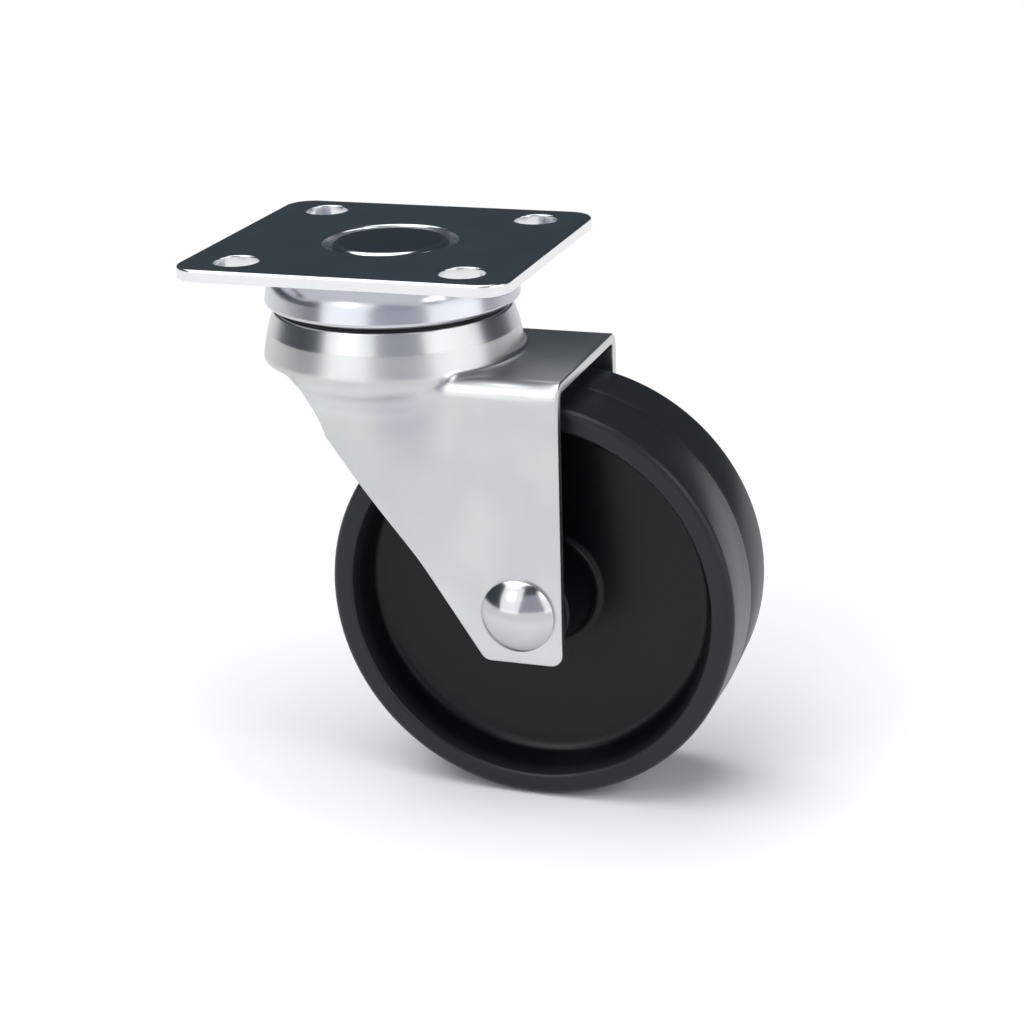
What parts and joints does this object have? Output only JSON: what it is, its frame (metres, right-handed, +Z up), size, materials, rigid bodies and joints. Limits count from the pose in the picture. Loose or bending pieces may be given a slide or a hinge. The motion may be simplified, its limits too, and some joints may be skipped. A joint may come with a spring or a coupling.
{
  "type": "swivel castor",
  "caption": "Bolt-down swivel castor: flat top plate, double ball race, pressed one-piece fork and a moulded solid wheel on a riveted axle.",
  "frame": {"origin": "centre of the plate's top face, on the swivel axis", "axes": "+Z up along the swivel axis, +X from the swivel axis towards the axle, +Y along the axle towards its closed head"},
  "size_m": [0.0955, 0.0564, 0.099],
  "materials": {
    "plate": "zinc plated, satin",
    "pin": "zinc plated, satin",
    "cup": "zinc plated, bright",
    "fork": "zinc plated, satin",
    "race": "hardened, plain",
    "balls": "polished",
    "rivet": "zinc plated, polished head",
    "sleeve": "drawn, plain",
    "wheel": "black, satin moulding"
  },
  "bodies": {
    "mount_plate": {"top_plate": "plate", "kingpin": "pin", "upper_race_cup": "cup", "lower_race": "race"},
    "swivel_fork": {"fork": "fork", "axle_rivet": "rivet", "axle_sleeve": "sleeve"},
    "rolling_wheel": {"wheel": "wheel"},
    "upper_ball_row": {"upper_ball_1": "balls", "upper_ball_2": "balls", "upper_ball_3": "balls", "upper_ball_4": "balls", "upper_ball_5": "balls", "upper_ball_6": "balls", "upper_ball_7": "balls", "upper_ball_8": "balls", "upper_ball_9": "balls", "upper_ball_10": "balls", "upper_ball_11": "balls", "upper_ball_12": "balls", "upper_ball_13": "balls", "upper_ball_14": "balls", "upper_ball_15": "balls", "upper_ball_16": "balls"},
    "lower_ball_row": {"lower_ball_1": "balls", "lower_ball_2": "balls", "lower_ball_3": "balls", "lower_ball_4": "balls", "lower_ball_5": "balls", "lower_ball_6": "balls", "lower_ball_7": "balls", "lower_ball_8": "balls", "lower_ball_9": "balls", "lower_ball_10": "balls", "lower_ball_11": "balls", "lower_ball_12": "balls"}
  },
  "joints": [
    {"name": "fork_swivel", "type": "hinge", "parent": "mount_plate", "child": "swivel_fork", "pos_m": [0, 0, 0], "axis": [0, 0, 1], "continuous": true},
    {"name": "wheel_spin", "type": "hinge", "parent": "swivel_fork", "child": "rolling_wheel", "pos_m": [0.028, 0, -0.0615], "axis": [0, 1, 0], "continuous": true},
    {"name": "upper_row_roll", "type": "hinge", "parent": "mount_plate", "child": "upper_ball_row", "pos_m": [0, 0, 0], "axis": [0, 0, 1], "continuous": true},
    {"name": "lower_row_roll", "type": "hinge", "parent": "mount_plate", "child": "lower_ball_row", "pos_m": [0, 0, 0], "axis": [0, 0, 1], "continuous": true}
  ],
  "couplings": [
    {"joint": "upper_row_roll", "follows": "fork_swivel", "ratio": 0.5},
    {"joint": "lower_row_roll", "follows": "fork_swivel", "ratio": 0.5}
  ]
}
